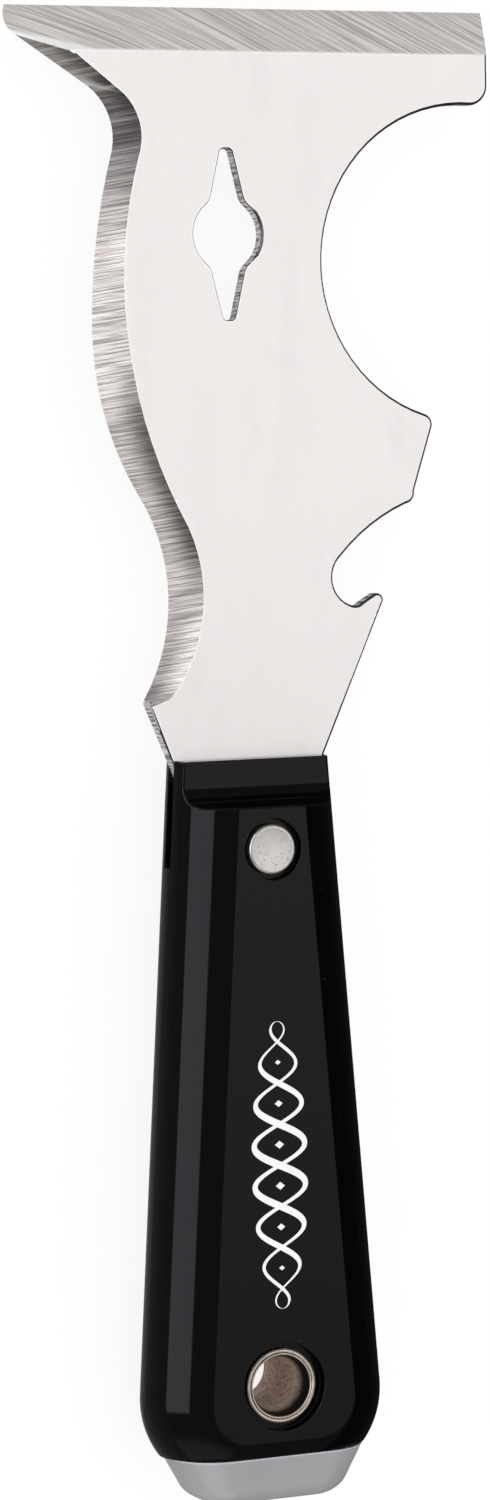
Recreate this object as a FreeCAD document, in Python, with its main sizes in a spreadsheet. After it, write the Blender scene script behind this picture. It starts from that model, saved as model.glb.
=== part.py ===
import FreeCAD, Part
import Sketcher
import math
import os

# Painter's multi tool: a flat steel blade with a hidden tang, two handle scales, a rivet,
# a hang-hole eyelet and a hammer cap on the butt.
#
# Drawing frame (millimetres): X across the tool, +Y from the handle towards the scraping
# edge, Z through the thickness.  X = 0 is the handle's centre line, Y = 0 is the top end of
# the handle and Z = 0 is the middle of the blade.  Every body is then placed so that the
# origin is below the middle of the tool, on the surface that it lies on.

SIZES = {
    # overall
    "blade_reach": 104.8, "cap_end": -104.8, "tip_left": -33.8, "head_right": 39.2,
    "shift_x": -2.7, "shift_y": 0.0,
    # blade stock and the two ground bevels
    "blade_half": 1.0, "blade_front": 1.0, "blade_rear": -1.0,
    "tip_radius": 3.2, "head_corner_radius": 2.9, "roller_radius": 22.4,
    "belly_corner_radius": 1.6, "chin_radius": 1.6, "opener_lead_radius": 28.0,
    "opener_radius": 4.1, "hook_root_radius": 1.6, "hook_tip_radius": 1.0,
    "neck_radius": 26.8, "hip_radius": 43.7, "flank_radius": 89.8, "throat_radius": 8.7,
    "inner_tip_radius": 0.9, "inner_neck_radius": 22.3, "inner_hip_radius": 69.0,
    "inner_flank_radius": 64.3, "inner_throat_radius": 8.05,
    # nail slot
    "slot_x": -1.75, "slot_y": 73.3, "slot_radius": 5.2, "slot_reach": 11.95,
    "slot_root_half": 2.6, "slot_root_y": 4.6, "slot_tip_half": 0.85,
    "slot_blend_radius": 2.4, "slot_tip_radius": 0.7,
    # tang
    "tang_half": 7.8, "tang_end": -101.0, "pin_y": -95.7, "pin_radius": 1.0,
    # handle scales
    "scale_top_half": 11.65, "scale_wide_half": 17.9, "scale_wide_y": -89.3,
    "scale_corner_radius": 12.9, "scale_join_half": 15.27, "scale_join": -98.05,
    "scale_height": 8.4, "scale_round": 8.75, "scale_stock": 9.0, "scale_crest": 8.52,
    "shelf_height": 3.1, "step_y": -6.4, "cove_radius": 3.1, "end_corner_radius": 0.6,
    "channel_end": -15.0, "tang_slot_half": 7.9, "tongue_half": 9.0, "tongue_top": -93.2,
    "tongue_half_height": 3.0,
    # neck rivet
    "rivet_y": -12.4, "rivet_head_radius": 3.55, "rivet_head_top": 8.25,
    "rivet_recess_radius": 4.3, "rivet_floor": 7.0, "rivet_barrel_radius": 2.5,
    "rivet_post_radius": 1.9, "rivet_hole_radius": 2.55,
    # hang-hole eyelet
    "eyelet_y": -88.1, "eyelet_bore_radius": 3.9, "eyelet_barrel_radius": 4.25,
    "eyelet_flange_radius": 5.25, "eyelet_flange_top": 7.5, "eyelet_floor": 6.8,
    "eyelet_recess_radius": 6.25, "eyelet_hole_radius": 4.3, "eyelet_lip_radius": 0.3,
    # hammer cap
    "cap_join_half": 14.45, "cap_join_height": 7.8, "cap_join_corner": 6.6,
    "cap_end_half": 10.8, "cap_end_height": 6.4, "cap_end_corner": 5.2,
    "cap_edge_radius": 3.2, "tang_slot_thickness": 2.1, "tongue_root": -99.0,
    # helpers of the drawings
    "zero": 0.0, "room": 130.0,
}
# Sizes that follow from the ones above.
SIZES["cove_start"] = SIZES["step_y"] + SIZES["cove_radius"]
SIZES["cove_top"] = SIZES["shelf_height"] + SIZES["cove_radius"]
SIZES["scale_sink"] = SIZES["scale_crest"] - SIZES["scale_stock"]
SIZES["end_corner_x"] = SIZES["scale_top_half"] - SIZES["end_corner_radius"]
for _end in ("cap_join", "cap_end"):
    SIZES[_end + "_flat"] = SIZES[_end + "_half"] - SIZES[_end + "_corner"]
    SIZES[_end + "_flat_height"] = SIZES[_end + "_height"] - SIZES[_end + "_corner"]

# Corner points of the blade's rear face, where the outline is widest.
REAR_POINTS = {
    "tip_edge": (-33.57, 104.8), "edge_right": (39.2, 104.8), "head_side": (39.2, 94.5),
    "roller_top": (36.6, 91.55), "roller_low": (28.3, 47.86), "belly_side": (29.5, 46.0),
    "chin_side": (26.5, 36.9), "chin_low": (25.1, 35.1), "opener_lead": (14.8, 27.95),
    "opener_low": (16.9, 20.85), "hook_root": (17.9, 21.3), "hook_inner": (19.7, 22.35),
    "hook_outer": (21.3, 21.5), "tang_right": (7.8, -8.14), "tang_end_right": (7.8, -101.0),
    "tang_end_left": (-7.8, -101.0), "tang_left": (-7.8, -9.9), "bevel_foot": (-15.3, 8.14),
    "neck_low": (-15.17, 8.6), "neck_high": (-15.3, 37.3), "hip": (-21.65, 60.0),
    "throat_low": (-18.1, 85.0), "throat_high": (-21.5, 93.8), "tip_low": (-32.37, 100.93),
}

# Where the front face stops instead: the lines along which the two bevels start.
FRONT_POINTS = {
    "tip_edge": (-24.9, 98.6), "edge_right": (39.2, 98.6), "neck_low": (-12.0, 8.65),
    "neck_high": (-8.6, 32.6), "hip": (-17.5, 66.5), "throat_low": (-14.95, 83.9),
    "throat_high": (-16.95, 92.7), "tip_low": (-23.9, 98.15),
}

LEFT, RIGHT = 1, -1  # the way an arc turns as the outline is followed

# The outline, clockwise from the left end of the scraping edge: each entry is the point
# reached, with the radius and the turn where the stretch to it is round.
BLADE_ROUTE = [
    ("edge_right", None, None), ("head_side", None, None),
    ("roller_top", "head_corner_radius", RIGHT), ("roller_low", "roller_radius", LEFT),
    ("belly_side", "belly_corner_radius", RIGHT), ("chin_side", None, None),
    ("chin_low", "chin_radius", RIGHT), ("opener_lead", "opener_lead_radius", LEFT),
    ("opener_low", "opener_radius", LEFT), ("hook_root", "hook_root_radius", LEFT),
    ("hook_inner", None, None), ("hook_outer", "hook_tip_radius", RIGHT),
    ("tang_right", None, None), ("tang_end_right", None, None),
    ("tang_end_left", None, None), ("tang_left", None, None), ("bevel_foot", None, None),
    ("neck_low", None, None), ("neck_high", "neck_radius", LEFT),
    ("hip", "hip_radius", RIGHT), ("throat_low", "flank_radius", RIGHT),
    ("throat_high", "throat_radius", LEFT), ("tip_low", None, None),
    ("tip_edge", "tip_radius", RIGHT),
]
INNER_RADII = {
    "neck_radius": "inner_neck_radius", "hip_radius": "inner_hip_radius",
    "flank_radius": "inner_flank_radius", "throat_radius": "inner_throat_radius",
    "tip_radius": "inner_tip_radius",
}

doc = FreeCAD.newDocument("PainterMultiTool")


def make_sheet():
    """Put every driving dimension in one spreadsheet, each cell with its own alias."""
    for prefix, points in (("rear_", REAR_POINTS), ("front_", FRONT_POINTS)):
        for name, (x, y) in points.items():
            SIZES[prefix + name + "_x"] = x
            SIZES[prefix + name + "_y"] = y
    table = doc.addObject("Spreadsheet::Sheet", "Dims")
    for row, (alias, value) in enumerate(SIZES.items(), start=1):
        table.set("A%d" % row, alias)
        table.set("B%d" % row, "%.4f" % value)
        table.setAlias("B%d" % row, alias)
    doc.recompute()
    return table


sheet = make_sheet()


def size(alias):
    """Value of a dimension; a leading minus sign gives its negative."""
    if alias.startswith("-"):
        return -float(sheet.get(alias[1:]))
    return float(sheet.get(alias))


def bind(item, attribute, alias):
    """Tie one property or constraint of an object to a dimension of the sheet."""
    sign = "-" if alias.startswith("-") else ""
    item.setExpression(attribute, sign + "Dims." + alias.lstrip("-"))


def make_body(label):
    """A new body with its node name as its label."""
    body = doc.addObject("PartDesign::Body", label)
    body.Label = label
    return body


def plane_of(body, role):
    """One of the body's own origin planes."""
    return next(f for f in body.Origin.OriginFeatures if f.Role == role)


def make_sketch(body, name, role="XY_Plane", lift=None):
    """An empty sketch on an origin plane of the body, lifted along the plane's normal."""
    sketch = body.newObject("Sketcher::SketchObject", name)
    sketch.AttachmentSupport = [(plane_of(body, role), "")]
    sketch.MapMode = "FlatFace"
    if lift:
        bind(sketch, ".AttachmentOffset.Base.z", lift)
    return sketch


def fix_point(sketch, edge, end, x_alias, y_alias):
    """Hold an end of an edge at a place given by two dimensions."""
    for kind, alias in (("DistanceX", x_alias), ("DistanceY", y_alias)):
        number = sketch.addConstraint(Sketcher.Constraint(kind, -1, 1, edge, end, size(alias)))
        bind(sketch, "Constraints[%d]" % number, alias)


def arc_between(start, end, radius, turn):
    """The shorter arc from start to end that turns left or right with the given radius."""
    chord = end - start
    half = chord.Length / 2
    normal = FreeCAD.Vector(-chord.y, chord.x, 0).normalize() * turn
    centre = (start + end) * 0.5 + normal * math.sqrt(radius * radius - half * half)
    middle = centre - normal * radius
    return Part.Arc(start, middle, end)


def draw_route(sketch, start, route):
    """Draw a closed outline from points held by pairs of dimensions.

    start is a pair of aliases; each entry of route is (x alias, y alias, radius, turn).
    """
    here = start
    spans = []
    for x_alias, y_alias, radius, turn in route:
        spans.append((here, (x_alias, y_alias), radius, turn))
        here = (x_alias, y_alias)
    ends = []
    for begin, finish, radius, turn in spans:
        first = FreeCAD.Vector(size(begin[0]), size(begin[1]), 0)
        last = FreeCAD.Vector(size(finish[0]), size(finish[1]), 0)
        if radius is None:
            edge = sketch.addGeometry(Part.LineSegment(first, last), False)
            ends.append((edge, 1, 2))
            continue
        curve = arc_between(first, last, size(radius), turn)
        edge = sketch.addGeometry(curve, False)
        # A sketched arc always runs counter-clockwise, so a right turn starts at its end.
        ends.append((edge, 1, 2) if turn == LEFT else (edge, 2, 1))
        number = sketch.addConstraint(Sketcher.Constraint("Radius", edge, size(radius)))
        bind(sketch, "Constraints[%d]" % number, radius)
    for index, (edge, _, finish) in enumerate(ends):
        following, begin, _ = ends[(index + 1) % len(ends)]
        sketch.addConstraint(Sketcher.Constraint("Coincident", edge, finish, following, begin))
        fix_point(sketch, edge, finish, spans[index][1][0], spans[index][1][1])


def draw_polygon(sketch, corners):
    """Draw a closed polygon whose corners are pairs of aliases."""
    draw_route(sketch, corners[-1], [(x, y, None, None) for x, y in corners])


def draw_circle(sketch, x_alias, y_alias, radius):
    """Draw a circle held by three dimensions; no x alias puts it on the centre line."""
    x = size(x_alias) if x_alias else 0.0
    centre = FreeCAD.Vector(x, size(y_alias), 0)
    edge = sketch.addGeometry(Part.Circle(centre, FreeCAD.Vector(0, 0, 1), size(radius)), False)
    number = sketch.addConstraint(Sketcher.Constraint("Radius", edge, size(radius)))
    bind(sketch, "Constraints[%d]" % number, radius)
    number = sketch.addConstraint(
        Sketcher.Constraint("DistanceY", -1, 1, edge, 3, size(y_alias)))
    bind(sketch, "Constraints[%d]" % number, y_alias)
    if x_alias:
        number = sketch.addConstraint(Sketcher.Constraint("DistanceX", -1, 1, edge, 3, x))
        bind(sketch, "Constraints[%d]" % number, x_alias)
    else:
        sketch.addConstraint(Sketcher.Constraint("PointOnObject", edge, 3, -2))


def pad(body, name, sketch, length, both_ways=False):
    """Pad a sketch by a dimension of the sheet, or by it on both sides."""
    feature = body.newObject("PartDesign::Pad", name)
    feature.Profile = sketch
    bind(feature, "Length", length)
    if both_ways:
        feature.SideType = "Two sides"
        bind(feature, "Length2", length)
    doc.recompute()
    return feature


def pocket_through(body, name, sketch):
    """Cut a sketch right through the body, both ways from its plane."""
    before = body.Shape.Volume
    feature = body.newObject("PartDesign::Pocket", name)
    feature.Profile = sketch
    feature.Type = "ThroughAll"
    feature.Midplane = True
    doc.recompute()
    check_cut(feature, before)
    return feature


def pocket_blind(body, name, sketch, depth, reverse):
    """Cut a sketch to a depth from its plane; reverse cuts along the plane's normal."""
    before = body.Shape.Volume
    feature = body.newObject("PartDesign::Pocket", name)
    feature.Profile = sketch
    feature.Reversed = reverse
    bind(feature, "Length", depth)
    doc.recompute()
    check_cut(feature, before)
    return feature


def check_cut(feature, before):
    """Stop if a cut took nothing away or broke the solid."""
    after = feature.Shape.Volume
    if not feature.Shape.isValid() or after >= before - 1e-3:
        raise RuntimeError("%s cut nothing: %.3f to %.3f" % (feature.Name, before, after))


def edges_where(shape, test):
    """Names of the edges whose middle point and direction pass the test."""
    names = []
    for index, edge in enumerate(shape.Edges, start=1):
        first, last = edge.ParameterRange
        middle = edge.valueAt((first + last) / 2)
        span = edge.valueAt(last) - edge.valueAt(first)
        if test(middle, span):
            names.append("Edge%d" % index)
    return names


def fillet(body, name, base, names, radius):
    """Round the named edges of a feature."""
    if not names:
        raise RuntimeError("%s found no edges" % name)
    feature = body.newObject("PartDesign::Fillet", name)
    feature.Base = (base, names)
    bind(feature, "Radius", radius)
    doc.recompute()
    return feature


def revolve(body, name, sketch):
    """Turn a half profile right round its body's own Z axis through the sketch origin."""
    feature = body.newObject("PartDesign::Revolution", name)
    feature.Profile = sketch
    feature.ReferenceAxis = (sketch, ["V_Axis"])
    feature.Angle = 360.0
    doc.recompute()
    return feature


def place(body, y_alias=None, turned=False):
    """Move a finished body from the drawing frame to the tool's own frame."""
    if turned:
        body.Placement = FreeCAD.Placement(
            FreeCAD.Vector(), FreeCAD.Rotation(FreeCAD.Vector(0, 1, 0), 180))
    bind(body, ".Placement.Base.x", "shift_x")
    if y_alias:
        body.setExpression(".Placement.Base.y", "Dims.shift_y + Dims." + y_alias)
    else:
        bind(body, ".Placement.Base.y", "shift_y")
    bind(body, ".Placement.Base.z", "scale_height")


def make_blade():
    """Flat ground blade: a ruled loft between its wide rear and its narrower front face."""
    body = make_body("blade")
    rear = make_sketch(body, "BladeRearFace", lift="blade_rear")
    front = make_sketch(body, "BladeFrontFace", lift="blade_front")
    for sketch, inner in ((rear, False), (front, True)):
        def alias(name):
            prefix = "front_" if inner and name in FRONT_POINTS else "rear_"
            return prefix + name + "_x", prefix + name + "_y"

        route = []
        for name, radius, turn in BLADE_ROUTE:
            if inner:
                radius = INNER_RADII.get(radius, radius)
            route.append(alias(name) + (radius, turn))
        draw_route(sketch, alias("tip_edge"), route)
    doc.recompute()
    loft = body.newObject("PartDesign::AdditiveLoft", "GroundBlade")
    loft.Profile = rear
    loft.Sections = [front]
    loft.Ruled = True
    doc.recompute()

    hole = make_sketch(body, "SlotCircle")
    draw_circle(hole, "slot_x", "slot_y", "slot_radius")
    pocket_through(body, "SlotRound", hole)
    ears = make_sketch(body, "SlotEars")
    draw_ears(ears)
    cut = pocket_through(body, "SlotEarsCut", ears)
    cut = fillet(body, "SlotBlend", cut, slot_edges(cut.Shape, False), "slot_blend_radius")
    cut = fillet(body, "SlotTips", cut, slot_edges(cut.Shape, True), "slot_tip_radius")

    holes = make_sketch(body, "TangHoles")
    draw_circle(holes, None, "rivet_y", "rivet_hole_radius")
    draw_circle(holes, None, "eyelet_y", "eyelet_hole_radius")
    draw_circle(holes, None, "pin_y", "pin_radius")
    pocket_through(body, "TangHolesCut", holes)
    place(body)
    return body


def draw_ears(sketch):
    """The slot's two tapered ears, drawn as one long six-sided outline."""
    corners = [(-1, 0, 1), (1, 0, 1), (1, 1, 0), (1, 0, -1), (-1, 0, -1), (-1, -1, 0)]
    count = len(corners)
    x, y = size("slot_x"), size("slot_y")
    points = []
    for side, waist, end in corners:
        # The waist corners lie where the straight flanks of both ears would meet.
        half = size("slot_root_half") + waist_growth() if waist else size("slot_tip_half")
        points.append(FreeCAD.Vector(x + side * half, y + end * size("slot_reach"), 0))
    for index in range(count):
        sketch.addGeometry(Part.LineSegment(points[index], points[(index + 1) % count]), False)
    for index in range(count):
        following = (index + 1) % count
        sketch.addConstraint(Sketcher.Constraint("Coincident", index, 2, following, 1))
    reach = "Dims.slot_y %s Dims.slot_reach"
    half = "Dims.slot_x %s Dims.slot_tip_half"
    waist_half = ("Dims.slot_x %s (Dims.slot_root_half + (Dims.slot_root_half"
                  " - Dims.slot_tip_half) / (Dims.slot_reach - Dims.slot_root_y)"
                  " * Dims.slot_root_y)")
    for index, (side, waist, end) in enumerate(corners):
        sign = "+" if side > 0 else "-"
        across = sketch.addConstraint(
            Sketcher.Constraint("DistanceX", -1, 1, index, 1, points[index].x))
        sketch.setExpression("Constraints[%d]" % across, (waist_half if waist else half) % sign)
        along = sketch.addConstraint(
            Sketcher.Constraint("DistanceY", -1, 1, index, 1, points[index].y))
        if end:
            sketch.setExpression("Constraints[%d]" % along, reach % ("+" if end > 0 else "-"))
        else:
            bind(sketch, "Constraints[%d]" % along, "slot_y")


def waist_growth():
    """How much wider the straight flanks are at the slot's middle than at the circle."""
    slope = (size("slot_root_half") - size("slot_tip_half")) / (
        size("slot_reach") - size("slot_root_y"))
    return slope * size("slot_root_y")


def slot_edges(shape, at_tips):
    """Upright edges of the nail slot: at the ears' tips, or where the ears meet the circle."""
    x, y = size("slot_x"), size("slot_y")
    limit = size("slot_reach") - 0.5

    def test(middle, span):
        upright = abs(span.x) < 1e-6 and abs(span.y) < 1e-6 and abs(span.z) > 1e-3
        away = abs(middle.y - y)
        near = abs(middle.x - x) < size("slot_radius") and away < size("slot_reach") + 1
        return upright and near and (away > limit) == at_tips and away > 1.0

    return edges_where(shape, test)


def draw_scale_plan(sketch):
    """Tapered handle outline whose butt end turns in towards the cap."""
    wide = [("scale_top_half", "zero", None, None),
            ("scale_wide_half", "scale_wide_y", None, None),
            ("scale_join_half", "scale_join", "scale_corner_radius", RIGHT),
            ("-scale_join_half", "scale_join", None, None),
            ("-scale_wide_half", "scale_wide_y", "scale_corner_radius", RIGHT),
            ("-scale_top_half", "zero", None, None)]
    draw_route(sketch, ("-scale_top_half", "zero"), wide)


def make_scale(label, turned):
    """One moulded handle scale; the rear one is the same moulding turned over."""
    body = make_body(label)
    plan = make_sketch(body, label + "_plan", lift="scale_sink")
    draw_scale_plan(plan)
    stock = pad(body, label + "_stock", plan, "scale_stock")
    top = size("scale_crest")

    def long_edges(middle, span):
        on_top = abs(middle.z - top) < 1e-6
        return on_top and abs(span.y) > 1.0

    crown = fillet(body, label + "_crown", stock, edges_where(stock.Shape, long_edges),
                   "scale_round")
    if not crown.Shape.isValid():
        raise RuntimeError("the crown of %s failed" % label)

    # The crown's centre lies below the split, so the stock is cut off at both levels.
    for name, lift, upward in (("_plateau", "scale_height", True), ("_split", None, False)):
        slab = make_sketch(body, label + name + "_slab", lift=lift)
        draw_polygon(slab, [("-room", "-room"), ("room", "-room"), ("room", "room"),
                            ("-room", "room")])
        pocket_blind(body, label + name, slab, "scale_stock", upward)

    step = make_sketch(body, label + "_step", "YZ_Plane")
    draw_route(step, ("room", "shelf_height"), [
        ("cove_start", "shelf_height", None, None),
        ("step_y", "cove_top", "cove_radius", RIGHT),
        ("step_y", "room", None, None), ("room", "room", None, None),
        ("room", "shelf_height", None, None)])
    pocket_through(body, label + "_cove", step)

    corners = make_sketch(body, label + "_end_corners")
    for sign in ("", "-"):
        turn = LEFT if sign else RIGHT
        draw_route(corners, (sign + "scale_top_half", "zero"), [
            (sign + "end_corner_x", "zero", None, None),
            (sign + "scale_top_half", "-end_corner_radius", "end_corner_radius", turn),
            (sign + "room", "-end_corner_radius", None, None), (sign + "room", "room", None, None),
            (sign + "scale_top_half", "room", None, None),
            (sign + "scale_top_half", "zero", None, None)])
    pocket_through(body, label + "_end_rounding", corners)

    channel = make_sketch(body, label + "_channel")
    draw_polygon(channel, [
        ("-room", "room"), ("room", "room"), ("room", "channel_end"),
        ("tang_slot_half", "channel_end"), ("tang_slot_half", "-room"),
        ("-tang_slot_half", "-room"), ("-tang_slot_half", "channel_end"),
        ("-room", "channel_end")])
    pocket_blind(body, label + "_tang_channel", channel, "blade_half", True)

    socket = make_sketch(body, label + "_tongue")
    draw_polygon(socket, [("-tongue_half", "tongue_top"), ("tongue_half", "tongue_top"),
                          ("tongue_half", "-room"), ("-tongue_half", "-room")])
    pocket_blind(body, label + "_tongue_socket", socket, "tongue_half_height", True)

    holes = make_sketch(body, label + "_holes")
    draw_circle(holes, None, "rivet_y", "rivet_hole_radius")
    draw_circle(holes, None, "eyelet_y", "eyelet_hole_radius")
    pocket_through(body, label + "_fastener_holes", holes)
    for name in ("rivet", "eyelet"):
        recess = make_sketch(body, label + "_" + name + "_rim", lift=name + "_floor")
        draw_circle(recess, None, name + "_y", name + "_recess_radius")
        pocket_blind(body, label + "_" + name + "_recess", recess, "scale_stock", True)
    place(body, turned=turned)
    return body


def make_turned(label, profile, y_alias):
    """A turned piece: its half profile (radius, height pairs) spun round a Z axis."""
    body = make_body(label)
    sketch = make_sketch(body, label + "_profile", "XZ_Plane")
    draw_polygon(sketch, profile)
    revolve(body, label + "_turned", sketch)
    place(body, y_alias)
    return body


def make_rivet():
    """Two-piece neck rivet: a solid post pressed into a tubular cap."""
    post = make_turned("rivet_post", [
        ("zero", "-rivet_floor"), ("rivet_post_radius", "-rivet_floor"),
        ("rivet_post_radius", "rivet_floor"), ("rivet_head_radius", "rivet_floor"),
        ("rivet_head_radius", "rivet_head_top"), ("zero", "rivet_head_top")], "rivet_y")
    cap = make_turned("rivet_cap", [
        ("zero", "-rivet_head_top"), ("rivet_head_radius", "-rivet_head_top"),
        ("rivet_head_radius", "-rivet_floor"), ("rivet_barrel_radius", "-rivet_floor"),
        ("rivet_barrel_radius", "rivet_floor"), ("rivet_post_radius", "rivet_floor"),
        ("rivet_post_radius", "-rivet_floor"), ("zero", "-rivet_floor")], "rivet_y")
    return [post, cap]


def make_eyelet():
    """Hang-hole eyelet: a flanged barrel, closed over a flat ring at the rear."""
    barrel = make_turned("hang_eyelet", [
        ("eyelet_bore_radius", "-eyelet_flange_top"),
        ("eyelet_barrel_radius", "-eyelet_flange_top"),
        ("eyelet_barrel_radius", "eyelet_floor"), ("eyelet_flange_radius", "eyelet_floor"),
        ("eyelet_flange_radius", "eyelet_flange_top"),
        ("eyelet_bore_radius", "eyelet_flange_top")], "eyelet_y")
    ring = make_turned("eyelet_ring", [
        ("eyelet_barrel_radius", "-eyelet_flange_top"),
        ("eyelet_flange_radius", "-eyelet_flange_top"),
        ("eyelet_flange_radius", "-eyelet_floor"),
        ("eyelet_barrel_radius", "-eyelet_floor")], "eyelet_y")
    return [barrel, ring]


def draw_rounded_box(sketch, half, height, corner, inner_half, inner_height):
    """Rounded rectangle about the origin, from its half sizes and its corner radius."""
    route = [
        (inner_half, height, None, None), (half, inner_height, corner, RIGHT),
        (half, "-" + inner_height, None, None), (inner_half, "-" + height, corner, RIGHT),
        ("-" + inner_half, "-" + height, None, None),
        ("-" + half, "-" + inner_height, corner, RIGHT),
        ("-" + half, inner_height, None, None), ("-" + inner_half, height, corner, RIGHT)]
    draw_route(sketch, ("-" + inner_half, height), route)


def make_cap():
    """Cast hammer cap: a tapered rounded block with a tongue that reaches between the scales."""
    body = make_body("hammer_cap")
    join = make_sketch(body, "CapJoin", "XZ_Plane", "-scale_join")
    draw_rounded_box(join, "cap_join_half", "cap_join_height", "cap_join_corner",
                     "cap_join_flat", "cap_join_flat_height")
    end = make_sketch(body, "CapEnd", "XZ_Plane", "-cap_end")
    draw_rounded_box(end, "cap_end_half", "cap_end_height", "cap_end_corner",
                     "cap_end_flat", "cap_end_flat_height")
    doc.recompute()
    loft = body.newObject("PartDesign::AdditiveLoft", "CapBlock")
    loft.Profile = join
    loft.Sections = [end]
    loft.Ruled = True
    doc.recompute()
    face = size("cap_end")
    rim = edges_where(loft.Shape, lambda middle, span: abs(middle.y - face) < 1e-6)
    fillet(body, "CapStrikingEdge", loft, rim, "cap_edge_radius")

    tongue = make_sketch(body, "CapTongue")
    draw_polygon(tongue, [("-tongue_half", "tongue_top"), ("tongue_half", "tongue_top"),
                          ("tongue_half", "tongue_root"), ("-tongue_half", "tongue_root")])
    pad(body, "CapTonguePad", tongue, "tongue_half_height", both_ways=True)
    slot = make_sketch(body, "CapTangSlot")
    draw_polygon(slot, [("-tang_slot_half", "room"), ("tang_slot_half", "room"),
                        ("tang_slot_half", "tang_end"), ("-tang_slot_half", "tang_end")])
    before = body.Shape.Volume
    cut = body.newObject("PartDesign::Pocket", "CapTangSlotCut")
    cut.Profile = slot
    cut.Midplane = True
    bind(cut, "Length", "tang_slot_thickness")
    doc.recompute()
    check_cut(cut, before)
    hole = make_sketch(body, "CapPinHole")
    draw_circle(hole, None, "pin_y", "pin_radius")
    pocket_through(body, "CapPinHoleCut", hole)
    place(body)
    return body


def make_pin():
    """Cross pin through the tang and the cap's tongue, hidden by the scales."""
    body = make_body("cap_pin")
    sketch = make_sketch(body, "PinSection")
    draw_circle(sketch, None, "pin_y", "pin_radius")
    pad(body, "PinLength", sketch, "tongue_half_height", both_ways=True)
    place(body)
    return body


def check_document():
    """Refuse a document with a failed object."""
    doc.recompute()
    failed = [item.Name for item in doc.Objects
              if "Invalid" in item.State or "Error" in item.State]
    if failed:
        raise RuntimeError("failed objects: " + ", ".join(failed))


def export(bodies):
    """Write each sub-part to parts/NODE.step after checking its shape."""
    os.makedirs("parts", exist_ok=True)
    for body in bodies:
        shape = body.Shape
        if shape.isNull() or not shape.isValid() or not shape.Solids:
            raise RuntimeError("bad shape: " + body.Label)
        shape.exportStep(os.path.join("parts", body.Label + ".step"))
        box = shape.BoundBox
        print("%-12s %9.1f mm3  x %.2f..%.2f  y %.2f..%.2f  z %.2f..%.2f" % (
            body.Label, shape.Volume, box.XMin, box.XMax, box.YMin, box.YMax, box.ZMin, box.ZMax))


def main():
    """Build every sub-part, check the document and write the files."""
    bodies = [make_blade(), make_scale("front_scale", False), make_scale("rear_scale", True)]
    bodies += make_rivet() + make_eyelet() + [make_cap(), make_pin()]
    check_document()
    export(bodies)


main()
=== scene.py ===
"""A painter's multi tool: ground blade, black scales, rivet, eyelet and hammer cap.

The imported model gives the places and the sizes.  The classes below build the detailed
pieces round it, in metres, and dress them with procedural finishes.
"""

import logging
import math
from dataclasses import dataclass
from enum import Enum
from typing import Any, Callable, Optional, Sequence, Union

import bmesh
import bpy
from mathutils import Matrix, Vector


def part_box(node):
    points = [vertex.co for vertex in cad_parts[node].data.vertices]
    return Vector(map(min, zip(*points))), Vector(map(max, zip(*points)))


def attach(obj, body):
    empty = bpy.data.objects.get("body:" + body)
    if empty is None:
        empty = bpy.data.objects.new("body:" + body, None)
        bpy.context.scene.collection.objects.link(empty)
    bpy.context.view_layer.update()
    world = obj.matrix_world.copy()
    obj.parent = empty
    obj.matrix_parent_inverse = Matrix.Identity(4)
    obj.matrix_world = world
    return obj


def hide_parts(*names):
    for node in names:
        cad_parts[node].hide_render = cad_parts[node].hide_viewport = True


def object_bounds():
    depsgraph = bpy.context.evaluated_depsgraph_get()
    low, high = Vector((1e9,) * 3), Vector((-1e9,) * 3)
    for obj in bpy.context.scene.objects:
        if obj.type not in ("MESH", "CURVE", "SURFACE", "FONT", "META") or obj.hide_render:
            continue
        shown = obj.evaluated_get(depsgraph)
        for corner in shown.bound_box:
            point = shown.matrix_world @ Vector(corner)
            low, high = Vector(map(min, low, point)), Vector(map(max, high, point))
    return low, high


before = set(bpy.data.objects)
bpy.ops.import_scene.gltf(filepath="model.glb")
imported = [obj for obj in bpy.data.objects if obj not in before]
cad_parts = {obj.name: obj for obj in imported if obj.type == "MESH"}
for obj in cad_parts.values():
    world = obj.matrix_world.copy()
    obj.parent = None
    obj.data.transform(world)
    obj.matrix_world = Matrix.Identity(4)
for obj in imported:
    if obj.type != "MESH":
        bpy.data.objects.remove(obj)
CAD_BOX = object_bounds()

LOG = logging.getLogger("multi_tool")
MM = 0.001
PER_MM = 1000.0
ROOT = "root"

Node = bpy.types.Node
Socket = bpy.types.NodeSocket
Material = bpy.types.Material
Shape = bmesh.types.BMesh
Edge = bmesh.types.BMEdge
ops = bmesh.ops
Point = tuple[float, float]
Value = Union[float, Sequence[float], Socket]
Triple = tuple[float, float, float]
Colour = Triple


# --- the tool's own frame
@dataclass(frozen=True)
class ToolFrame:
    """Places that every piece shares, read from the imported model, in metres."""

    axis_x: float
    mid_z: float
    handle_top_y: float

    @classmethod
    def read(cls) -> "ToolFrame":
        """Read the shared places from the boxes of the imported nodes."""
        rivet_low, rivet_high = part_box("rivet_post")
        blade_low, blade_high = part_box("blade")
        return cls(
            axis_x=(rivet_low.x + rivet_high.x) / 2,
            mid_z=(blade_low.z + blade_high.z) / 2,
            handle_top_y=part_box("front_scale")[1].y)

    def placing(self) -> Matrix:
        """Matrix from the drawing frame, in millimetres, to the row frame, in metres."""
        origin = Vector((self.axis_x, self.handle_top_y, self.mid_z))
        return Matrix.Translation(origin) @ Matrix.Diagonal((MM, MM, MM, 1.0))

    def at(self, x: float, y: float, z: float) -> Vector:
        """Point of the drawing frame as a place in the row frame."""
        return self.placing() @ Vector((x, y, z))


def add_object(name: str, data: bpy.types.ID) -> bpy.types.Object:
    """Put a new object in the scene."""
    item = bpy.data.objects.new(name, data)
    bpy.context.scene.collection.objects.link(item)
    return item


class Face(Enum):
    """The two broad faces of the tool."""

    FRONT = 1
    REAR = -1


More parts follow.
